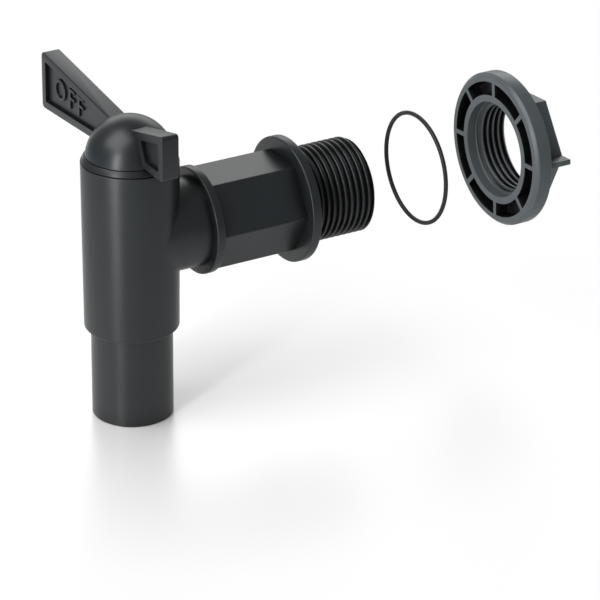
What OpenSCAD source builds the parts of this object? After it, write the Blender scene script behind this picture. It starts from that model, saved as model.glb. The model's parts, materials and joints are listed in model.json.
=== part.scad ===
// Plastic drain tap for a jerrycan, with a quarter-turn lever plug, a seal ring
// and a locknut. The origin is the centre of the flange's sealing face. The
// threaded stem runs along +Y into the container and the spout points down.

/* [Barrel] */
// Distance from the sealing face to the axis of the barrel
barrel_reach = 48.7; // [45:0.1:70]
// Outside radius of the barrel at its top
barrel_top_r = 13.1; // [12.9:0.05:14]
// Outside radius of the barrel at its lower step
barrel_low_r = 12.8; // [12.5:0.05:13.4]
// Height of the barrel's top face above the stem axis
barrel_top = 21.7; // [18:0.1:30]
// Depth of the lower step below the stem axis
barrel_drop = 25.3; // [22:0.1:32]
// Radius of the bore that the plug turns in
barrel_bore_r = 10; // [9.8:0.05:10.2]
// Small chamfer on the barrel's outer edges
barrel_edge = 0.3; // [0.2:0.1:0.8]
// Thickness of the ledge at the foot of the bore
ledge_t = 1.6; // [1.2:0.1:2.4]
// Height of the ledge's top face over the barrel's lower step
ledge_high = 5.2; // [4.8:0.1:7]

/* [Spout] */
// Outside radius of the spout
spout_r = 11; // [10.8:0.05:11.6]
// Wall of the spout
spout_wall = 1.9; // [1.8:0.1:2.4]
// Length of the spout below the step
spout_length = 26.65; // [15:0.05:40]

/* [Stem] */
// Radius of the neck between barrel and collar
neck_r = 12.3; // [11.8:0.1:12.8]
// Outside radius of the round collar
collar_r = 14.75; // [14.3:0.05:16]
// Thickness of the collar
collar_t = 2.4; // [1.5:0.1:4]
// Width of the hexagon across its flats
hex_af = 24.5; // [23.8:0.1:24.7]
// Length of the hexagon
hex_length = 25.3; // [15:0.1:28]
// Outside radius of the flange
flange_r = 17.4; // [17:0.1:20]
// Thickness of the flange
flange_t = 2.75; // [2:0.05:4]
// Radius of the bore through the stem
inlet_r = 9; // [7:0.1:9.3]
// Radius of the wider mouth at the end of that bore
mouth_r = 9.5; // [9.4:0.05:10]
// Depth of the mouth
mouth_depth = 16; // [4:0.5:24]

/* [Thread] */
// Outside diameter of the thread, 3/4 inch pipe
thread_d = 26.44; // [25.8:0.02:26.6]
// Distance from one thread crest to the next
thread_pitch = 1.814; // [1.5:0.001:2]
// Depth of the thread
thread_depth = 1.16; // [0.8:0.01:1.3]
// Length of the threaded stem
thread_length = 19.6; // [16:0.1:30]
// Width of the plain land between the flange and the thread
thread_land = 0.9; // [0.5:0.1:1.5]
// Distance from the last crest to the end of the stem
thread_lead = 0.9; // [0.6:0.1:2]

/* [Lever plug] */
// Radial running clearance of the plug in the barrel
plug_clear = 0.05; // [0.04:0.01:0.08]
// Wall of the hollow plug
plug_wall = 2.1; // [1.9:0.1:2.4]
// Radius of the port in the side of the plug
port_r = 7; // [5:0.1:7.4]
// Radius of the dome on top of the plug
dome_r = 11.9; // [11.5:0.05:12.2]
// Height of the dome's centre over the head's underside
dome_rise = 0.3; // [0:0.05:1]
// Radius of the head's sloped rim at its lower edge
rim_r = 13; // [12.7:0.05:13.5]
// Radius of the sloped rim at its upper edge
rim_top_r = 12; // [11.9:0.05:12.4]
// Height of the sloped rim
rim_h = 1.75; // [1:0.05:3]
// Gap under the head, over the barrel's top face
head_gap = 0.1; // [0.1:0.05:0.2]
// Thickness of the lever and of the short tail opposite
lever_t = 5; // [4:0.1:6]
// Distance from the plug axis to the tip of the lever
lever_reach = 46; // [35:0.1:60]
// Height of the lever's upper edge over the barrel's top face, at the tip
lever_tip_high = 14.9; // [12:0.1:18]
// Height of the lever's upper edge over the barrel's top face, at the axis
lever_root_high = 9.1; // [8:0.1:10.5]
// Gap under the lever where it passes over the barrel's edge
lever_lift = 0.4; // [0.3:0.1:1.5]
// Drop of the lever's lower edge from the barrel's edge to the tip
lever_drop = 2; // [0:0.1:3]
// Distance from the plug axis to the end of the tail
tail_reach = 22.5; // [20:0.1:26]
// Height of the tail's upper edge over the barrel's top face, at its end
tail_high = 15.3; // [12:0.1:16]
// Height of the tail's upper edge over the barrel's top face, at the axis
tail_root_high = 9.6; // [8:0.1:10.5]
// Gap between the tail's level lower edge and the barrel's top face
tail_lift = 2.6; // [0.5:0.1:3]
// Radius of the lever's rounded corners
lever_corner = 1.3; // [0.5:0.1:2]
// Width of the frame left round each sunk panel
panel_border = 2.2; // [1.2:0.1:2.6]
// Depth of each sunk panel
panel_depth = 1; // [0.4:0.1:1.6]
// Radius of the sunk panels' corners
panel_corner = 0.5; // [0.3:0.1:1]

/* [Seals] */
// Thickness of the seal ring on the stem
ring_t = 1.2; // [1:0.05:1.6]
// Radius of the seal ring at the middle of its section
ring_r = 15.5; // [15.3:0.05:15.7]
// Thickness of the two rings on the plug
plug_ring_t = 1.8; // [1.6:0.05:2]
// Distance from the sealing face to the seal ring, taken off
ring_off = 40.1; // [30:0.1:50]

/* [Locknut] */
// Outside radius of the nut's disc
nut_r = 21.75; // [21:0.05:26]
// Thickness of the disc
nut_disc_t = 5; // [4:0.1:7]
// Width of the nut's hexagon across its flats
nut_af = 28.8; // [28.6:0.1:33]
// Length of the nut's hexagon behind the disc
nut_hex_length = 7; // [5:0.1:8]
// Width of the plain rim round the pockets
nut_rim = 2.4; // [1.5:0.1:3]
// Width of the plain ring inside the pockets
nut_ring = 1.9; // [1.4:0.1:2.4]
// Width of the ribs between the pockets
nut_rib = 1.3; // [0.8:0.1:2]
// Number of ribs
nut_ribs = 8; // [4:1:12]
// Depth of the pockets
nut_pocket = 4; // [2:0.1:4]
// Depth of the plain counterbore in front of the thread
nut_lead = 2.6; // [1:0.1:4]
// Distance the wings stand out past the corners of the hexagon
wing_out = 4; // [2:0.1:4.4]
// Thickness of the wings
wing_t = 1.5; // [1:0.1:2.5]
// Turn of the nut about the stem axis
nut_turn = 4.5; // [0:0.5:60]
// Radial clearance of the nut's bore over the thread
nut_clear = 0.13; // [0.1:0.01:0.2]
// Distance from the sealing face to the front of the nut, taken off
nut_off = 65.8; // [50:0.1:80]

/* [Hidden] */
$fn = 96;
over = 0.5;

hex_start = -flange_t - hex_length;
collar_start = hex_start - collar_t;
thread_r = thread_d / 2;
spout_bore_r = spout_r - spout_wall;
spout_end = -barrel_drop - spout_length;

// parallel ridges of the thread, as shares of the pitch
crest_share = 0.22;
flank_share = 0.3;

// the plug hangs on its foot: neck through a ledge, snap bead below it
ledge_top = -barrel_drop + ledge_high;
ledge_hole_r = spout_bore_r + 0.1;
foot_clear = 0.25;
foot_r = ledge_hole_r - foot_clear;
bead_grip = 0.35;
bead_r = ledge_hole_r + bead_grip;
bead_t = 1.2;
foot_gap = 0.1;
undercut_r = bead_r + foot_clear;
undercut_t = bead_t + foot_gap + 0.5;

plug_r = barrel_bore_r - plug_clear;
cavity_r = plug_r - plug_wall;
head_low = barrel_top + head_gap;
dome_centre = head_low + dome_rise;
plug_low = ledge_top + foot_gap;
bead_top = ledge_top - ledge_t - foot_gap;
bead_low = bead_top - bead_t;

// start of the lever and tail strips inside the dome, and their panels' inner ends
strip_in = 3;
tail_corner = 1;
lever_panel_in = dome_r - 3;
tail_panel_low_in = dome_r + 1.4;
tail_panel_high_in = dome_r - 1;

// quarter-turn stop: a lug on the plug in a curved slot in the barrel's mouth
stop_depth = 1.6;
stop_out = 0.9;
stop_clear = 0.1;
lug_angle = 40;
stop_play = 0.6;
quarter_turn = 90;

plug_ring_gap = 0.02;
plug_ring_r = barrel_bore_r - plug_ring_gap - plug_ring_t / 2;
groove_floor_r = plug_ring_r - plug_ring_t / 2;
groove_play = 0.3;
groove_w = plug_ring_t + groove_play;
ring_past_port = 5;
ring_z = port_r + ring_past_port;

ring_groove_play = 0.2;
ring_groove_w = ring_t + ring_groove_play;
ring_groove_depth = 0.7;

nut_bore_r = thread_r + nut_clear;
nut_lead_step = 0.3;
nut_lead_r = nut_bore_r + nut_lead_step;
pocket_out_r = nut_r - nut_rim;
pocket_in_r = nut_lead_r + nut_ring;
nut_hex_r = nut_af / sqrt(3);
nut_length = nut_disc_t + nut_hex_length;

// upper edge of the lever at a distance from the plug axis
function lever_high(x) = barrel_top + lever_root_high
    + (lever_tip_high - lever_root_high) * x / lever_reach;
// lower edge of the lever at a distance from the plug axis
function lever_low(x) = barrel_top + lever_lift
    - lever_drop * (x - barrel_top_r) / (lever_reach - barrel_top_r);
// upper edge of the tail at a distance from the plug axis
function tail_top(x) = barrel_top + tail_root_high
    + (tail_high - tail_root_high) * x / tail_reach;
tail_low = barrel_top + tail_lift;

// puts a shape drawn round +Z on the stem axis, with its start at y
module on_stem(y) {
    translate([0, y, 0]) rotate([-90, 0, 0]) children();
}

module on_barrel() {
    translate([0, -barrel_reach, 0]) children();
}

// a flat strip in the plug's own plane, seen from the side with x outwards
module upright(t) {
    translate([0, t / 2, 0]) rotate([90, 0, 0]) linear_extrude(t) children();
}

// four rounded corners given as [x, z] pairs
module rounded_strip(corners, r) {
    hull() for (c = corners) translate(c) circle(r, $fn = 32);
}

// the thread as parallel ridges at its true pitch, counted back from the stem's end
module ridged_stem() {
    crest = thread_pitch * crest_share;
    flank = thread_pitch * flank_share;
    root_r = thread_r - thread_depth;
    last = thread_length - thread_lead;
    gaps = floor((last - thread_land - thread_pitch / 2) / thread_pitch);
    on_stem(0) rotate_extrude() polygon(concat(
        [[0, -over], [thread_r, -over], [thread_r, thread_land], [root_r, thread_land + flank]],
        [for (i = [gaps : -1 : 0]) let (y = last - i * thread_pitch) each [
            [root_r, y - crest / 2 - flank], [thread_r, y - crest / 2],
            [thread_r, y + crest / 2], [root_r, y + crest / 2 + flank]]],
        [[root_r, thread_length], [0, thread_length]]));
}

module barrel_outside() {
    on_barrel() rotate_extrude() polygon([
        [0, spout_end], [spout_r - barrel_edge, spout_end],
        [spout_r, spout_end + barrel_edge], [spout_r, -barrel_drop],
        [barrel_low_r - barrel_edge, -barrel_drop],
        [barrel_low_r, -barrel_drop + barrel_edge],
        [barrel_top_r, barrel_top - barrel_edge],
        [barrel_top_r - barrel_edge, barrel_top], [0, barrel_top]]);
}

module barrel_inside() {
    on_barrel() {
        translate([0, 0, spout_end - over]) cylinder(r = spout_bore_r, h = barrel_drop + spout_length);
        translate([0, 0, ledge_top - ledge_t - undercut_t]) cylinder(r = undercut_r, h = undercut_t);
        translate([0, 0, ledge_top - ledge_t - over]) cylinder(r = ledge_hole_r, h = ledge_t + 2 * over);
        translate([0, 0, ledge_top]) cylinder(r = barrel_bore_r, h = barrel_top - ledge_top + over);
        translate([0, 0, barrel_top - stop_depth]) rotate([0, 0, -lug_angle / 2 - stop_play])
            rotate_extrude(angle = quarter_turn + lug_angle + 2 * stop_play)
                translate([barrel_bore_r - over, 0]) square([stop_out + stop_clear + over, stop_depth + over]);
    }
}

module body() {
    color("#33383b") difference() {
        union() {
            barrel_outside();
            on_stem(-barrel_reach) cylinder(r = neck_r, h = barrel_reach + collar_start + over);
            on_stem(collar_start) cylinder(r = collar_r, h = collar_t);
            on_stem(hex_start - over) cylinder(r = hex_af / sqrt(3), h = hex_length + 2 * over, $fn = 6);
            on_stem(-flange_t) cylinder(r = flange_r, h = flange_t);
            ridged_stem();
        }
        barrel_inside();
        on_stem(-barrel_reach) cylinder(r = inlet_r, h = barrel_reach + thread_length + over);
        on_stem(thread_length - mouth_depth) cylinder(r = mouth_r, h = mouth_depth + over);
        on_stem(-ring_groove_depth) difference() {
            cylinder(r = ring_r + ring_groove_w / 2, h = ring_groove_depth + over);
            translate([0, 0, -over])
                cylinder(r = ring_r - ring_groove_w / 2, h = ring_groove_depth + 3 * over);
        }
    }
}

module lever_strip() {
    r = lever_corner;
    x_tip = lever_reach - r;
    upright(lever_t) rounded_strip([[-x_tip, lever_high(x_tip) - r], [-x_tip, lever_low(x_tip) + r],
        [-strip_in, lever_low(dome_r) + r], [-strip_in, lever_high(strip_in) - r]], r);
}

module tail_strip() {
    r = tail_corner;
    x_tip = tail_reach - r;
    upright(lever_t) rounded_strip([[x_tip, tail_top(x_tip) - r], [x_tip, tail_low + r],
        [strip_in, tail_low + r], [strip_in, tail_top(strip_in) - r]], r);
}

// the same sunk panel on both faces of the lever and of the tail
module sunk_panels() {
    r = panel_corner;
    b = panel_border + r;
    for (side = [-1, 1]) translate([0, side * (lever_t - panel_depth), 0]) {
        upright(lever_t) rounded_strip([
            [-lever_reach + b, lever_high(lever_reach - b) - b],
            [-lever_reach + b, lever_low(lever_reach - b) + b],
            [-lever_panel_in, lever_low(lever_panel_in) + b],
            [-lever_panel_in, lever_high(lever_panel_in) - b]], r);
        upright(lever_t) rounded_strip([
            [tail_reach - b, tail_top(tail_reach - b) - b], [tail_reach - b, tail_low + b],
            [tail_panel_low_in + r, tail_low + b],
            [tail_panel_high_in + r, tail_top(tail_panel_high_in) - b]], r);
    }
}

module ring_groove(z) {
    translate([0, 0, z - groove_w / 2]) difference() {
        cylinder(r = plug_r + over, h = groove_w);
        translate([0, 0, -over]) cylinder(r = groove_floor_r, h = groove_w + 2 * over);
    }
}

// sloped rim under a dome, turned about the plug axis
module head() {
    translate([0, 0, head_low]) cylinder(r1 = rim_r, r2 = rim_top_r, h = rim_h);
    rotate_extrude() intersection() {
        translate([0, dome_centre]) circle(dome_r);
        translate([0, head_low]) square(2 * dome_r);
    }
}

module plug_cavity() {
    translate([0, 0, bead_low - over]) cylinder(r = cavity_r, h = dome_centre - bead_low + over);
    rotate_extrude() translate([0, dome_centre]) intersection() {
        circle(cavity_r);
        translate([0, -over]) square(cavity_r + over);
    }
}

module lever_plug() {
    color("#2c3133") on_barrel() difference() {
        union() {
            translate([0, 0, plug_low]) cylinder(r = plug_r, h = head_low - plug_low + over);
            translate([0, 0, bead_low]) cylinder(r = foot_r, h = plug_low - bead_low + over);
            translate([0, 0, bead_low]) cylinder(r1 = foot_r, r2 = bead_r, h = bead_t);
            head();
            difference() {
                union() {
                    lever_strip();
                    tail_strip();
                }
                sunk_panels();
            }
            translate([0, 0, barrel_top - stop_depth + stop_clear]) rotate([0, 0, -lug_angle / 2])
                rotate_extrude(angle = lug_angle)
                    translate([plug_r - over, 0]) square([stop_out + over, stop_depth + over]);
        }
        plug_cavity();
        rotate([0, 90, 0]) cylinder(r = port_r, h = plug_r + over);
        ring_groove(ring_z);
        ring_groove(-ring_z);
    }
}

module plug_ring(z) {
    color("#17191a") on_barrel() translate([0, 0, z]) rotate_extrude()
        translate([plug_ring_r, 0]) circle(d = plug_ring_t);
}

module plug_upper_ring() {
    plug_ring(ring_z);
}

module plug_lower_ring() {
    plug_ring(-ring_z);
}

module stem_seal_ring() {
    color("#141516") on_stem(ring_off) rotate_extrude() translate([ring_r, 0]) circle(d = ring_t);
}

module nut_pockets() {
    difference() {
        translate([0, 0, -over]) difference() {
            cylinder(r = pocket_out_r, h = nut_pocket + over);
            translate([0, 0, -over]) cylinder(r = pocket_in_r, h = nut_pocket + 3 * over);
        }
        for (i = [0 : nut_ribs - 1]) rotate([0, 0, i * 360 / nut_ribs])
            translate([0, -nut_rib / 2, -2 * over]) cube([nut_r, nut_rib, nut_pocket + 3 * over]);
    }
}

module locknut() {
    color("#3a3f42") on_stem(nut_off) rotate([0, 0, -nut_turn]) difference() {
        union() {
            cylinder(r = nut_r, h = nut_disc_t);
            cylinder(r = nut_hex_r, h = nut_length, $fn = 6);
            for (side = [0, 180]) rotate([0, 0, side])
                translate([nut_hex_r - wing_t, -wing_t / 2, nut_disc_t - over])
                    cube([wing_out + wing_t, wing_t, nut_hex_length + over]);
        }
        translate([0, 0, -over]) cylinder(r = nut_bore_r, h = nut_length + 2 * over);
        translate([0, 0, -over]) cylinder(r = nut_lead_r, h = nut_lead + over);
        nut_pockets();
    }
}

body();
lever_plug();
plug_upper_ring();
plug_lower_ring();
stem_seal_ring();
locknut();
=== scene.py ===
import json
from math import asin, cos, floor, hypot, pi, radians, sin, sqrt, tan

import bmesh
import bpy
from mathutils import Matrix, Vector


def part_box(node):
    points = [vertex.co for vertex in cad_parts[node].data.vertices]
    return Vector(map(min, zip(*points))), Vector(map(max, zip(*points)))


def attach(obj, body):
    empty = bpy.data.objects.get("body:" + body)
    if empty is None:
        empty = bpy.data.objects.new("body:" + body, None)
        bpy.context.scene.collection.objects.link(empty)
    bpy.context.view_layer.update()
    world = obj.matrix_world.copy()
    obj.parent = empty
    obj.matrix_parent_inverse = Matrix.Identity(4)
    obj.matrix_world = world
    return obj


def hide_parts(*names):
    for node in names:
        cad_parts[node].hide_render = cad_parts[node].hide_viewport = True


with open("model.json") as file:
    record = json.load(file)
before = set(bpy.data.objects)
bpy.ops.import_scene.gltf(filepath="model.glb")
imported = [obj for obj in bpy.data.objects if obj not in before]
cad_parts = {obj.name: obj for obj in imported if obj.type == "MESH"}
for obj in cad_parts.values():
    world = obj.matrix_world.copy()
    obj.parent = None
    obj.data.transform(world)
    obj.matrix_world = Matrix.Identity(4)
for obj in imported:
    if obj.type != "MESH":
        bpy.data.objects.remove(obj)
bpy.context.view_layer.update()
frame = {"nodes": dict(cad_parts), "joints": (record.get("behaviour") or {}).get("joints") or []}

# Studio. A pale table and a white surround, as for a catalogue picture. The
# camera stands on the side of the lever's tail, before the barrel, and looks
# down on the tap. Sizes here and below are in millimetres unless MM is used.
MM = 0.001
camera_turn = radians(59.443)
camera_tilt = radians(26.109)
camera_roll = radians(0.55)
camera_distance = 952.87
camera_lens = 216.2
plug_axis_y = frame["joints"][0]["pos_m"][1] / MM
# how far the picture's middle lies from the crossing of stem and barrel
aim_right = 44.75
aim_up = -17.296
spout_end_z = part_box("body")[0].z / MM


def node(tree, kind, settings=None, **links):
    """Adds one shader node: settings are its properties, links its inputs' values or sources."""
    new = tree.nodes.new(kind)
    for name, value in (settings or {}).items():
        setattr(new, name, value)
    for name, value in links.items():
        socket = new.inputs[name.replace("_", " ")]
        if isinstance(value, bpy.types.NodeSocket):
            tree.links.new(value, socket)
        else:
            socket.default_value = value
    return new


def linear(hex_colour):
    """Linear colour of an sRGB hex value."""
    parts = [int(hex_colour[i:i + 2], 16) / 255 for i in (1, 3, 5)]
    return [c / 12.92 if c <= 0.04045 else ((c + 0.055) / 1.055) ** 2.4 for c in parts] + [1]


view = (Matrix.Rotation(camera_turn, 4, "Z") @ Matrix.Rotation(pi / 2 - camera_tilt, 4, "X")
        @ Matrix.Rotation(camera_roll, 4, "Z"))
camera_data = bpy.data.cameras.new("camera")
camera_data.lens = camera_lens
camera_data.sensor_width = 36
camera = bpy.data.objects.new("camera", camera_data)
bpy.context.collection.objects.link(camera)
offset = view @ Vector((aim_right, aim_up, camera_distance))
camera.matrix_world = Matrix.Translation((Vector((0, plug_axis_y, 0)) + offset) * MM) @ view
bpy.context.scene.camera = camera
bpy.context.scene.view_settings.view_transform = "Standard"

# lamp name, turn round the tap from the camera and height in degrees, distance
# and size in metres, power in watts
lamps = (
    ("key", -32, 2, 0.6, (0.07, 0.7), 3.4),
    ("rim", -146, 8, 0.6, (0.05, 0.7), 0.2),
    ("backdrop", 178, 24, 1.3, (1.3, 0.7), 4.5),
    ("top", -58, 58, 0.7, (0.55, 0.55), 3.6),
)
tap_middle = Vector((0, plug_axis_y * MM / 2, -0.01))
for lamp_name, lamp_turn, lamp_height, lamp_distance, lamp_size, lamp_power in lamps:
    lamp_data = bpy.data.lights.new(lamp_name, "AREA")
    lamp_data.shape = "RECTANGLE"
    lamp_data.size, lamp_data.size_y = lamp_size
    lamp_data.energy = lamp_power
    lamp = bpy.data.objects.new(lamp_name, lamp_data)
    bpy.context.collection.objects.link(lamp)
    turn = (Matrix.Rotation(camera_turn + radians(lamp_turn), 4, "Z")
            @ Matrix.Rotation(pi / 2 - radians(lamp_height), 4, "X"))
    lamp.matrix_world = Matrix.Translation(tap_middle) @ turn @ Matrix.Translation((0, 0, lamp_distance))

world = bpy.data.worlds.new("surround")
bpy.context.scene.world = world
world.use_nodes = True
sky = world.node_tree
sky.nodes.clear()
paths = node(sky, "ShaderNodeLightPath")
seen = node(sky, "ShaderNodeMath", {"operation": "MAXIMUM"})
sky.links.new(paths.outputs["Is Camera Ray"], seen.inputs[0])
sky.links.new(paths.outputs["Is Transmission Ray"], seen.inputs[1])
plain = node(sky, "ShaderNodeBackground", Color=linear("#FFFFFF"), Strength=0.3)
white = node(sky, "ShaderNodeBackground", Color=linear("#FFFFFF"), Strength=1)
both = node(sky, "ShaderNodeMixShader", Fac=seen.outputs[0])
sky.links.new(plain.outputs[0], both.inputs[1])
sky.links.new(white.outputs[0], both.inputs[2])
node(sky, "ShaderNodeOutputWorld", Surface=both.outputs[0])

table_gap = 0.05
# the painted glow is left off round a point this far behind the spout, where the shadow's middle lies
shadow_shift = 18
table = bmesh.new()
bmesh.ops.create_grid(table, x_segments=1, y_segments=1, size=4)
bmesh.ops.translate(table, verts=table.verts, vec=(0, 0, (spout_end_z - table_gap) * MM))
table_mesh = bpy.data.meshes.new("table")
table.to_mesh(table_mesh)
table.free()
table_top = bpy.data.objects.new("table", table_mesh)
bpy.context.collection.objects.link(table_top)
# White lacquered board, half glossy, so that the spout mirrors softly under it.
# Away from the tap it is painted plain white: a white glow, seen only by the camera, grows with the distance
# from the tap and washes out the shadows there.
board = bpy.data.materials.new("white_lacquered_board")
board.use_nodes = True
tree = board.node_tree
tree.nodes.clear()
place = node(tree, "ShaderNodeTexCoord").outputs["Object"]
paths = node(tree, "ShaderNodeLightPath")
# uneven gloss in patches of 4 mm
patches = node(tree, "ShaderNodeTexNoise", Vector=place, Scale=1 / (4 * MM), Detail=4)
gloss = node(tree, "ShaderNodeMapRange", Value=patches.outputs[0], To_Min=0.38, To_Max=0.42)
lacquer = node(tree, "ShaderNodeBsdfPrincipled", Base_Color=linear("#F4F4F4"), Roughness=gloss.outputs[0],
               Specular_IOR_Level=0.8, Coat_Weight=1, Coat_IOR=2, Coat_Roughness=0.28)
# painted light: a white glow that only the camera sees, mixed in more the farther a point lies from the tap
painted_glow = node(tree, "ShaderNodeEmission", Color=linear("#FFFFFF"), Strength=1)
away = node(tree, "ShaderNodeVectorMath", {"operation": "DISTANCE"})
tree.links.new(place, away.inputs[0])
away.inputs[1].default_value = (0, (plug_axis_y + shadow_shift) * MM, spout_end_z * MM)
painted_glow_share = node(tree, "ShaderNodeMapRange", Value=away.outputs["Value"], From_Min=25 * MM, From_Max=100 * MM,
           To_Min=0, To_Max=0.92)
share = node(tree, "ShaderNodeMath", {"operation": "MULTIPLY"})
tree.links.new(painted_glow_share.outputs[0], share.inputs[0])
tree.links.new(paths.outputs["Is Camera Ray"], share.inputs[1])
floor_with_painted_glow = node(tree, "ShaderNodeMixShader", Fac=share.outputs[0])
tree.links.new(lacquer.outputs[0], floor_with_painted_glow.inputs[1])
tree.links.new(painted_glow.outputs[0], floor_with_painted_glow.inputs[2])
node(tree, "ShaderNodeOutputMaterial", Surface=floor_with_painted_glow.outputs[0])
table_mesh.materials.append(board)

# Body. One injection moulding in black polypropylene: the upright barrel with
# its spout, the neck, a round collar, a spanner hexagon, the flange with a
# groove for the seal ring, and the stem with its pipe thread.
barrel_top_r = 13.1
barrel_low_r = 12.8
barrel_top = 21.7
# read from the photo, 0.8 mm lower than on the CAD solid
barrel_drop = 26.1
barrel_edge = 0.3
barrel_bore_r = 10
barrel_foot_edge = 0.5
ledge_top = -20.1
ledge_t = 1.6
ledge_hole_r = 9.2
undercut_r = 9.8
undercut_t = 1.8
spout_r = 11
spout_bore_r = 9.1
spout_lead = 0.3
neck_r = 12.3
neck_fillet = 1.6
collar_r = 14.75
collar_t = 2.4
ring_edge = 0.4
hex_af = 24.5
hex_length = 25.3
hex_edge = 0.25
flange_r = 17.4
flange_t = 2.75
seal_groove_r = 15.5
seal_groove_w = 1.4
seal_groove_depth = 0.7
stem_length = 19.6
stem_bore_r = 9
stem_mouth_r = 9.5
stem_mouth_depth = 16
thread_r = 13.22
thread_depth = 1.16
thread_pitch = 1.814
# how far one shape reaches into the next before they are joined
sink = 0.5


def softened(corners, closed=False):
    """Outline through (x, y, corner radius) points, with each corner as an arc."""
    arc_steps = 5
    outline = []
    count = len(corners)
    for i, (x, y, radius) in enumerate(corners):
        here = Vector((x, y))
        inner = closed or 0 < i < count - 1
        if radius == 0 or not inner:
            outline.append(here)
            continue
        back = (Vector(corners[i - 1][:2]) - here).normalized()
        ahead = (Vector(corners[(i + 1) % count][:2]) - here).normalized()
        half = back.angle(ahead) / 2
        start = here + back * radius / tan(half)
        centre = here + (back + ahead).normalized() * radius / sin(half)
        sweep = pi - 2 * half
        if back.x * ahead.y - back.y * ahead.x > 0:
            sweep = -sweep
        for step in range(arc_steps + 1):
            outline.append(centre + Matrix.Rotation(sweep * step / arc_steps, 2) @ (start - centre))
    return outline


def turned(corners, closed=False, segments=128):
    """Solid turned round Z from (radius, height, corner radius) points."""
    shape = bmesh.new()
    points = softened(corners, closed)
    verts = [shape.verts.new((p.x, 0, p.y)) for p in points]
    pairs = list(zip(verts, verts[1:]))
    if closed:
        pairs.append((verts[-1], verts[0]))
    edges = [shape.edges.new(pair) for pair in pairs]
    bmesh.ops.spin(shape, geom=verts + edges, axis=(0, 0, 1), cent=(0, 0, 0), angle=2 * pi,
                   steps=segments, use_merge=True)
    bmesh.ops.remove_doubles(shape, verts=shape.verts, dist=1e-4)
    bmesh.ops.recalc_face_normals(shape, faces=shape.faces)
    return shape


def onto_stem(shape, start=0):
    """Lays a shape made round Z along the stem, with its height 0 at start."""
    bmesh.ops.rotate(shape, verts=shape.verts, cent=(0, 0, 0), matrix=Matrix.Rotation(-pi / 2, 3, "X"))
    bmesh.ops.translate(shape, verts=shape.verts, vec=(0, start, 0))
    return shape


def onto_barrel(shape):
    """Moves a shape made round Z to the barrel's axis."""
    bmesh.ops.translate(shape, verts=shape.verts, vec=(0, plug_axis_y, 0))
    return shape


def combined(base, tool, operation):
    """Joins two solids, or cuts the second out of the first."""
    works = []
    for shape in (base, tool):
        mesh = bpy.data.meshes.new("work")
        shape.to_mesh(mesh)
        shape.free()
        works.append(bpy.data.objects.new("work", mesh))
        bpy.context.collection.objects.link(works[-1])
    boolean = works[0].modifiers.new("boolean", "BOOLEAN")
    boolean.operation = operation
    boolean.solver = "EXACT"
    boolean.object = works[1]
    result = bmesh.new()
    result.from_object(works[0], bpy.context.evaluated_depsgraph_get())
    for work in works:
        mesh = work.data
        bpy.data.objects.remove(work)
        bpy.data.meshes.remove(mesh)
    bmesh.ops.remove_doubles(result, verts=result.verts, dist=1e-4)
    return result


def extruded(corners, depth, closed=True):
    """Plate of the given depth along +Y, from (x, z, corner radius) points."""
    shape = bmesh.new()
    verts = [shape.verts.new((p.x, 0, p.y)) for p in softened(corners, closed)]
    face = shape.faces.new(verts)
    grown = bmesh.ops.extrude_face_region(shape, geom=[face])
    moved = [v for v in grown["geom"] if isinstance(v, bmesh.types.BMVert)]
    bmesh.ops.translate(shape, verts=moved, vec=(0, depth, 0))
    bmesh.ops.recalc_face_normals(shape, faces=shape.faces)
    return shape


def eased(shape, radius, sharper_than=40, segments=3):
    """Rounds the edges that are sharper than the angle, in degrees."""
    limit = radians(sharper_than)
    edges = [e for e in shape.edges if e.is_manifold and e.calc_face_angle() > limit]
    bmesh.ops.bevel(shape, geom=edges, offset=radius, offset_type="OFFSET", segments=segments,
                    affect="EDGES", profile=0.5, material=-1, clamp_overlap=True)
    return shape


def hexagon(across_flats, length, corner):
    """Six-sided bar along Z with eased corner edges and ends."""
    corner_r = across_flats / sqrt(3)
    shape = bmesh.new()
    bmesh.ops.create_cone(shape, cap_ends=True, segments=6, radius1=corner_r, radius2=corner_r, depth=length,
                          matrix=Matrix.Rotation(pi / 6, 4, "Z"))
    bmesh.ops.translate(shape, verts=shape.verts, vec=(0, 0, length / 2))
    return eased(shape, corner)


def threaded_rod(crest_r, start, end):
    """Right-handed screw along the stem: one pitch of the thread, swept as a helix."""
    flats = 12
    steps = 72
    first = floor(start / thread_pitch) - 1
    turns = floor((end - start) / thread_pitch) + 4
    shape = bmesh.new()
    verts = []
    for i in range(flats + 1):
        # a cosine cut off above and below, which leaves a narrow flat on crest and root
        wave = min(1, max(0, 0.5 - 0.8 * cos(2 * pi * i / flats)))
        verts.append(shape.verts.new((crest_r - thread_depth * (1 - wave),
                                      (first + i / flats) * thread_pitch, 0)))
    edges = [shape.edges.new(pair) for pair in zip(verts, verts[1:])]
    bmesh.ops.spin(shape, geom=verts + edges, axis=(0, -1, 0), cent=(0, 0, 0),
                   dvec=(0, thread_pitch / steps, 0), angle=2 * pi * turns, steps=steps * turns)
    bmesh.ops.remove_doubles(shape, verts=shape.verts, dist=1e-3)
    for place, outside in ((start, -1), (end, 1)):
        cut = bmesh.ops.bisect_plane(shape, geom=shape.verts[:] + shape.edges[:] + shape.faces[:],
                                     plane_co=(0, place, 0), plane_no=(0, outside, 0), clear_outer=True)
        rim = [e for e in cut["geom_cut"] if isinstance(e, bmesh.types.BMEdge) and e.is_boundary]
        bmesh.ops.holes_fill(shape, edges=rim, sides=0)
    bmesh.ops.recalc_face_normals(shape, faces=shape.faces)
    return shape


def moulded(name, shape, material):
    """Finished object from a shape in millimetres, with smooth curves and crisp edges."""
    bmesh.ops.scale(shape, vec=(MM, MM, MM), verts=shape.verts)
    mesh = bpy.data.meshes.new(name)
    shape.to_mesh(mesh)
    shape.free()
    mesh.shade_smooth()
    mesh.set_sharp_from_angle(angle=radians(32))
    mesh.materials.append(material)
    piece = bpy.data.objects.new(name, mesh)
    bpy.context.collection.objects.link(piece)
    return piece


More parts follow.
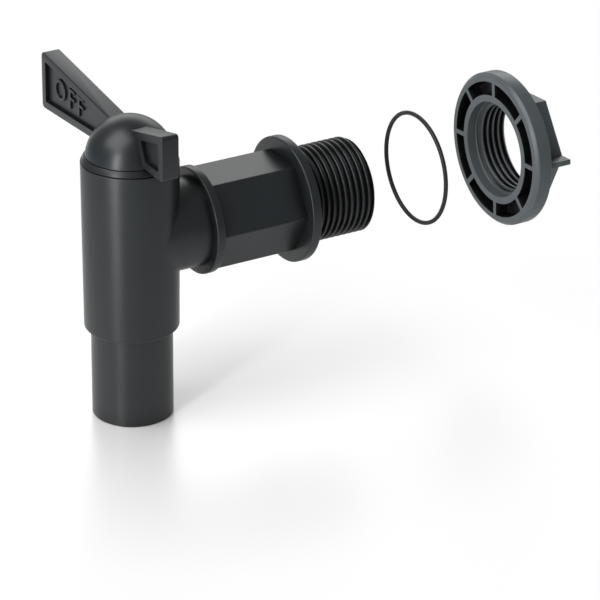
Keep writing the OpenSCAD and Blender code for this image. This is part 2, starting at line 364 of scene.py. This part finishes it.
def polypropylene(name, colour, shade, painted_shade_colour):
    """Injection-moulded polypropylene: satin skin with the mould's fine grain, and painted shade that
    darkens it in recesses.
    """
    material = bpy.data.materials.new(name)
    material.use_nodes = True
    tree = material.node_tree
    tree.nodes.clear()
    place = node(tree, "ShaderNodeTexCoord").outputs["Object"]
    # mould grain of 0.25 mm, flow marks of 9 mm, painted shade in recesses as wide as 7 mm
    grain = node(tree, "ShaderNodeTexNoise", Vector=place, Scale=1 / (0.25 * MM), Detail=3, Roughness=0.6)
    flow = node(tree, "ShaderNodeTexNoise", Vector=place, Scale=1 / (9 * MM), Detail=4, Roughness=0.55)
    tint = node(tree, "ShaderNodeMix", {"data_type": "RGBA"}, Factor=flow.outputs[0], A=linear(shade),
                B=linear(colour))
    # painted shade: where ambient occlusion finds surfaces close by, in pockets, corners and creases, the
    # colour is darkened towards the darkest colour, the last one given
    openness = node(tree, "ShaderNodeAmbientOcclusion", {"samples": 8}, Distance=7 * MM)
    painted_shade_share = node(tree, "ShaderNodeMapRange", Value=openness.outputs["AO"], From_Min=0.5, From_Max=0.92)
    tone = node(tree, "ShaderNodeMix", {"data_type": "RGBA"}, Factor=painted_shade_share.outputs[0], A=linear(painted_shade_colour),
                B=tint.outputs[2])
    gloss = node(tree, "ShaderNodeMapRange", Value=grain.outputs[0], To_Min=0.3, To_Max=0.4)
    bump = node(tree, "ShaderNodeBump", Height=grain.outputs[0], Strength=0.12, Distance=0.03 * MM)
    skin = node(tree, "ShaderNodeBsdfPrincipled", Roughness=gloss.outputs[0], IOR=1.49,
                Normal=bump.outputs[0])
    tree.links.new(tone.outputs[2], skin.inputs["Base Color"])
    node(tree, "ShaderNodeOutputMaterial", Surface=skin.outputs[0])
    return material


hex_start = -flange_t - hex_length
collar_start = hex_start - collar_t
body = turned([(0, spout_end_z, 0), (spout_r, spout_end_z, barrel_edge), (spout_r, -barrel_drop, 0.2),
               (barrel_low_r, -barrel_drop, barrel_foot_edge), (barrel_top_r, barrel_top, barrel_edge),
               (0, barrel_top, 0)])
onto_barrel(body)
neck = onto_stem(turned([(0, plug_axis_y, 0), (neck_r, plug_axis_y, 0), (neck_r, collar_start + sink, 0),
                         (0, collar_start + sink, 0)]))
body = combined(body, neck, "UNION")
# the corner between neck and barrel is filled with a soft fillet
corner = []
for edge in body.edges:
    middle = (edge.verts[0].co + edge.verts[1].co) / 2
    on_neck = abs(hypot(middle.x, middle.z) - neck_r) < 0.05
    on_wall = abs(hypot(middle.x, middle.y - plug_axis_y) - barrel_low_r) < 0.4
    if on_neck and on_wall and edge.calc_face_angle(0) > radians(15):
        corner.append(edge)
bmesh.ops.bevel(body, geom=corner, offset=neck_fillet, offset_type="OFFSET", segments=5,
                affect="EDGES", profile=0.5, material=-1, clamp_overlap=True)
collar = turned([(0, 0, 0), (collar_r, 0, ring_edge), (collar_r, collar_t, ring_edge / 2), (0, collar_t, 0)])
onto_stem(collar, collar_start)
body = combined(body, collar, "UNION")
spanner_hex = onto_stem(hexagon(hex_af, hex_length + 2 * sink, hex_edge), hex_start - sink)
body = combined(body, spanner_hex, "UNION")
groove_in = seal_groove_r - seal_groove_w / 2
groove_out = seal_groove_r + seal_groove_w / 2
flange = onto_stem(turned([(0, -flange_t, 0), (flange_r, -flange_t, ring_edge), (flange_r, 0, ring_edge),
                           (groove_out, 0, 0), (groove_out, -seal_groove_depth, 0.2),
                           (groove_in, -seal_groove_depth, 0.2), (groove_in, 0, 0), (0, 0, 0)]))
body = combined(body, flange, "UNION")
stem = threaded_rod(thread_r, -sink, stem_length + sink)
stem_outside = onto_stem(turned([(0, -sink, 0), (thread_r + sink, -sink, 0),
                                 (thread_r + sink, stem_length - thread_depth, 0),
                                 (thread_r - thread_depth - 0.2, stem_length, 0.2), (0, stem_length, 0)]))
stem = combined(stem, stem_outside, "INTERSECT")
body = combined(body, stem, "UNION")
undercut_low = ledge_top - ledge_t - undercut_t
hollow = onto_barrel(turned([
    (0, spout_end_z - 1, 0), (spout_bore_r + spout_lead, spout_end_z - 1, 0),
    (spout_bore_r + spout_lead, spout_end_z, 0), (spout_bore_r, spout_end_z + spout_lead, 0),
    (spout_bore_r, undercut_low, 0), (undercut_r, undercut_low, 0),
    (undercut_r, ledge_top - ledge_t, 0), (ledge_hole_r, ledge_top - ledge_t, 0),
    (ledge_hole_r, ledge_top, 0), (barrel_bore_r, ledge_top, 0),
    (barrel_bore_r, barrel_top + 1, 0), (0, barrel_top + 1, 0)]))
body = combined(body, hollow, "DIFFERENCE")
inlet = onto_stem(turned([
    (0, plug_axis_y, 0), (stem_bore_r, plug_axis_y, 0), (stem_bore_r, stem_length - stem_mouth_depth, 0),
    (stem_mouth_r, stem_length - stem_mouth_depth, 0), (stem_mouth_r, stem_length + 1, 0),
    (0, stem_length + 1, 0)]))
body = combined(body, inlet, "DIFFERENCE")
# its last colour is the painted shade of the recesses
body_plastic = polypropylene("black_polypropylene", "#1B2124", "#171B1E", "#090A0B")
tap_body = moulded("tap_body", body, body_plastic)
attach(tap_body, "tap_body")
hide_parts("body")

# Lever plug. A second black moulding that turns in the barrel: a hollow plug
# with a side port, under a domed head with a long lever and a short tail.
plug_r = 9.95
plug_wall = 2.1
plug_low = -20
foot_r = 8.95
bead_r = 9.55
bead_low = -23
bead_t = 1.2
port_r = 7
plug_groove_w = 2.1
plug_groove_floor_r = 8.18
plug_groove_z = 12
head_low = 21.8
dome_r = 11.9
dome_centre = 22.1
rim_r = 13
rim_top_r = 12
rim_h = 1.75
crease = 0.25
lever_t = 5
lever_corner = 1.3
plate_edge = 0.28
lever_reach = 46
lever_tip_high = 36.6
lever_root_high = 30.8
lever_tip_low = 20.1
lever_root_low = 22.1
tail_reach = 22.5
tail_tip_high = 37
tail_root_high = 31.3
tail_low = 24.3
tail_corner = 1
panel_border = 2.2
panel_depth = 1
panel_corner = 0.5
word_size = 8.4
word_rise = 0.45
word_x = -31
word_slope = radians(2.5)

cavity_r = plug_r - plug_wall
rim_top = head_low + rim_h
dome_foot = sqrt(dome_r ** 2 - (rim_top - dome_centre) ** 2)
dome_points = []
dome_steps = 26
core_steps = 12
start_angle = asin((rim_top - dome_centre) / dome_r)
for step in range(dome_steps + 1):
    angle = start_angle + (pi / 2 - start_angle) * step / dome_steps
    dome_points.append((dome_r * cos(angle) if step < dome_steps else 0,
                        dome_centre + dome_r * sin(angle), 0))
plug_points = [(0, bead_low, 0), (foot_r, bead_low, 0.2), (bead_r, bead_low + bead_t, 0.1),
               (foot_r, bead_low + bead_t, 0), (foot_r, plug_low, 0), (plug_r, plug_low, 0.3)]
for groove_z in (-plug_groove_z, plug_groove_z):
    groove_low = groove_z - plug_groove_w / 2
    groove_high = groove_z + plug_groove_w / 2
    plug_points += [(plug_r, groove_low, 0.1), (plug_groove_floor_r, groove_low, 0),
                    (plug_groove_floor_r, groove_high, 0), (plug_r, groove_high, 0.1)]
plug_points += [(plug_r, head_low, 0), (rim_r, head_low, 0.25), (rim_top_r, rim_top - 0.1, 0.12),
                (dome_foot - crease, rim_top - 0.1, 0), (dome_foot - crease, rim_top + 0.1, 0),
                (dome_foot, rim_top + 0.14, 0)]
plug = turned(plug_points + dome_points[1:])


def sunk_plate(corners, panel, corner):
    """Plate with one sunk panel on each face, from (x, z) corners of plate and panel."""
    plate = extruded([(x, z, corner) for x, z in corners], lever_t)
    bmesh.ops.translate(plate, verts=plate.verts, vec=(0, -lever_t / 2, 0))
    eased(plate, plate_edge, 60)
    for side in (-1, 1):
        pocket = extruded([(x, z, panel_corner) for x, z in panel], 2 * panel_depth)
        bmesh.ops.translate(pocket, verts=pocket.verts, vec=(0, side * lever_t / 2 - panel_depth, 0))
        plate = combined(plate, pocket, "DIFFERENCE")
    return plate


def lever_top(x):
    return lever_root_high + (lever_tip_high - lever_root_high) * -x / lever_reach


def lever_low(x):
    share = (-x - barrel_top_r) / (lever_reach - barrel_top_r)
    return lever_root_low + (lever_tip_low - lever_root_low) * share


def tail_top(x):
    return tail_root_high + (tail_tip_high - tail_root_high) * x / tail_reach


strip_in = 3
tip_x = -lever_reach + panel_border
in_x = -dome_r + 3
lever = sunk_plate(
    [(-lever_reach, lever_top(-lever_reach)), (-lever_reach, lever_low(-lever_reach)),
     (-dome_r, lever_low(-dome_r)), (-strip_in, lever_low(-dome_r)), (-strip_in, lever_top(-strip_in))],
    [(tip_x, lever_top(tip_x) - panel_border), (tip_x, lever_low(tip_x) + panel_border),
     (in_x, lever_low(in_x) + panel_border), (in_x, lever_top(in_x) - panel_border)], lever_corner)
tail_x = tail_reach - panel_border
tail = sunk_plate(
    [(strip_in, tail_top(strip_in)), (strip_in, tail_low),
     (tail_reach, tail_low), (tail_reach, tail_top(tail_reach))],
    [(dome_r - 1, tail_top(dome_r - 1) - panel_border), (dome_r + 1.4, tail_low + panel_border),
     (tail_x, tail_low + panel_border), (tail_x, tail_top(tail_x) - panel_border)], tail_corner)
plug = combined(plug, lever, "UNION")
plug = combined(plug, tail, "UNION")
core_points = [(0, bead_low - 1, 0), (cavity_r, bead_low - 1, 0), (cavity_r, dome_centre, 0)]
for step in range(1, core_steps + 1):
    angle = pi / 2 * step / core_steps
    core_points.append((cavity_r * cos(angle) if step < core_steps else 0,
                        dome_centre + cavity_r * sin(angle), 0))
core = turned(core_points)
plug = combined(plug, core, "DIFFERENCE")
port = turned([(0, 0, 0), (port_r, 0, 0), (port_r, plug_r + 1, 0), (0, plug_r + 1, 0)], segments=64)
bmesh.ops.rotate(port, verts=port.verts, cent=(0, 0, 0), matrix=Matrix.Rotation(pi / 2, 3, "Y"))
plug = combined(plug, port, "DIFFERENCE")


def raised_word(word, side, middle_x, middle_z, slope):
    """Word standing up from the lever's panel, readable from the given side."""
    letters = bpy.data.curves.new("letters", "FONT")
    letters.body = word
    letters.size = word_size
    letters.align_x = "CENTER"
    letters.align_y = "CENTER"
    letters.space_character = 1.3
    letters.extrude = word_rise
    letters.bevel_depth = 0.06
    letters.offset = -0.02
    carrier = bpy.data.objects.new("letters", letters)
    bpy.context.collection.objects.link(carrier)
    lettering = bpy.data.meshes.new_from_object(
        carrier.evaluated_get(bpy.context.evaluated_depsgraph_get()))
    shape = bmesh.new()
    shape.from_mesh(lettering)
    bpy.data.objects.remove(carrier)
    bpy.data.curves.remove(letters)
    bpy.data.meshes.remove(lettering)
    bmesh.ops.remove_doubles(shape, verts=shape.verts, dist=1e-4)
    # stands the word up, turns it to its side of the lever and along its slope
    stand = Matrix.Rotation(pi / 2, 4, "X")
    face = Matrix.Rotation(0 if side < 0 else pi, 4, "Z")
    tilt = Matrix.Rotation(slope, 4, "Y")
    bmesh.ops.transform(shape, verts=shape.verts, matrix=Matrix.Translation(
        (middle_x, side * (lever_t / 2 - panel_depth), middle_z)) @ tilt @ face @ stand)
    return shape


for word, side in (("OFF", -1), ("ON", 1)):
    word_shape = raised_word(word, side, word_x, (lever_top(word_x) + lever_low(word_x)) / 2, word_slope)
    plug = combined(plug, word_shape, "UNION")
onto_barrel(plug)
# its last colour is the painted shade of the recesses
plug_plastic = polypropylene("charcoal_polypropylene", "#1A2023", "#161A1D", "#090A0B")
lever_plug = moulded("lever_plug_moulding", plug, plug_plastic)
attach(lever_plug, "plug")
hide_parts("lever_plug")

# Seal rings. Thin round rings moulded in black nitrile rubber: one seals the
# flange on the container's wall, two more sit in the plug's grooves.
ring_r = 15.5
ring_t = 1.2
ring_off = 40.1


def nitrile(name):
    """Nitrile rubber as it comes from the mould: matt, dusty black with a faint sheen."""
    material = bpy.data.materials.new(name)
    material.use_nodes = True
    tree = material.node_tree
    tree.nodes.clear()
    place = node(tree, "ShaderNodeTexCoord").outputs["Object"]
    # dusty patches of 1.5 mm
    dust = node(tree, "ShaderNodeTexNoise", Vector=place, Scale=1 / (1.5 * MM), Detail=4)
    tint = node(tree, "ShaderNodeMix", {"data_type": "RGBA"}, Factor=dust.outputs[0], A=linear("#060606"),
                B=linear("#101011"))
    bump = node(tree, "ShaderNodeBump", Height=dust.outputs[0], Strength=0.2, Distance=0.03 * MM)
    skin = node(tree, "ShaderNodeBsdfPrincipled", Roughness=0.55, IOR=1.52, Normal=bump.outputs[0])
    tree.links.new(tint.outputs[2], skin.inputs["Base Color"])
    node(tree, "ShaderNodeOutputMaterial", Surface=skin.outputs[0])
    return material


rubber = nitrile("black_nitrile_rubber")
sides = 20
ring = turned([(ring_r + ring_t / 2 * cos(2 * pi * i / sides), ring_t / 2 * sin(2 * pi * i / sides), 0)
               for i in range(sides)], closed=True, segments=160)
onto_stem(ring, ring_off)
seal_ring = moulded("stem_seal_ring_rubber", ring, rubber)
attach(seal_ring, "seal_ring")
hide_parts("stem_seal_ring")
for name in ("plug_upper_ring", "plug_lower_ring"):
    inner_ring = frame["nodes"][name]
    inner_ring.data.materials.clear()
    inner_ring.data.materials.append(rubber)

# Locknut. A lighter grey polypropylene moulding with eight open pockets round
# a threaded bore, a hexagon for the spanner and two finger wings behind it.
nut_off = 65.8
nut_r = 21.75
nut_disc_t = 5
nut_af = 28.8
nut_hex_length = 7
nut_rim = 2.4
nut_ring = 1.9
nut_rib = 1.3
nut_ribs = 8
nut_pocket = 4
nut_lead = 2.6
nut_lead_r = 13.65
nut_bevel = 0.9
nut_edge = 0.3
nut_clear = 0.13
nut_exit = 0.8
nut_turn = radians(4.5)
wing_out = 4
wing_t = 1.5
wing_drop = 0.15
wing_edge = 0.2

nut_length = nut_disc_t + nut_hex_length
nut_hex_r = nut_af / sqrt(3)
nut = turned([(0, 0, 0), (nut_r - nut_bevel, 0, nut_edge), (nut_r, nut_bevel, nut_edge),
              (nut_r, nut_disc_t, 0.5), (0, nut_disc_t, 0)])
nut_hex = hexagon(nut_af, nut_hex_length + sink, wing_edge)
bmesh.ops.translate(nut_hex, verts=nut_hex.verts, vec=(0, 0, nut_disc_t - sink))
nut = combined(nut, nut_hex, "UNION")
wing_in = nut_hex_r - 2
wing_high = nut_hex_length + sink - wing_drop
for half_turn in (0, pi):
    wing = bmesh.new()
    bmesh.ops.create_cube(wing, size=1)
    bmesh.ops.scale(wing, vec=(nut_hex_r + wing_out - wing_in, wing_t, wing_high), verts=wing.verts)
    eased(wing, wing_edge)
    bmesh.ops.translate(wing, verts=wing.verts, vec=((nut_hex_r + wing_out + wing_in) / 2, 0,
                                                     nut_disc_t - sink + wing_high / 2))
    bmesh.ops.rotate(wing, verts=wing.verts, cent=(0, 0, 0), matrix=Matrix.Rotation(half_turn, 3, "Z"))
    nut = combined(nut, wing, "UNION")
pocket_out_r = nut_r - nut_rim
pocket_in_r = nut_lead_r + nut_ring
pockets = turned([(pocket_in_r, -1, 0), (pocket_out_r, -1, 0), (pocket_out_r, nut_pocket, 0),
                  (pocket_in_r, nut_pocket, 0)], closed=True)
for i in range(nut_ribs):
    rib = bmesh.new()
    bmesh.ops.create_cube(rib, size=1)
    bmesh.ops.scale(rib, vec=(nut_rim + nut_r, nut_rib, nut_pocket + 4), verts=rib.verts)
    bmesh.ops.translate(rib, verts=rib.verts, vec=((nut_rim + nut_r) / 2, 0, nut_pocket / 2))
    bmesh.ops.rotate(rib, verts=rib.verts, cent=(0, 0, 0),
                     matrix=Matrix.Rotation(i * 2 * pi / nut_ribs, 3, "Z"))
    pockets = combined(pockets, rib, "DIFFERENCE")
eased(pockets, 0.25, 50, 2)
nut = combined(nut, pockets, "DIFFERENCE")
nut_bore_r = thread_r - thread_depth + nut_clear
nut_exit_r = nut_bore_r + nut_exit + sink
nut_bore = turned([(0, -1, 0), (nut_lead_r, -1, 0), (nut_lead_r, nut_lead, nut_edge),
                   (nut_bore_r, nut_lead + 1, 0), (nut_bore_r, nut_length - nut_exit, 0),
                   (nut_exit_r, nut_length + sink, 0), (nut_exit_r, nut_length + 1, 0),
                   (0, nut_length + 1, 0)])
nut = combined(nut, nut_bore, "DIFFERENCE")
bmesh.ops.rotate(nut, verts=nut.verts, cent=(0, 0, 0), matrix=Matrix.Rotation(-nut_turn, 3, "Z"))
onto_stem(nut, nut_off)
tap_tool = threaded_rod(thread_r + nut_clear, nut_off - 1, nut_off + nut_length + 1)
nut = combined(nut, tap_tool, "DIFFERENCE")
# its last colour is the painted shade of the recesses
nut_plastic = polypropylene("grey_polypropylene", "#51585B", "#484E51", "#090A0A")
locknut = moulded("locknut_moulding", nut, nut_plastic)
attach(locknut, "nut")
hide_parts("locknut")
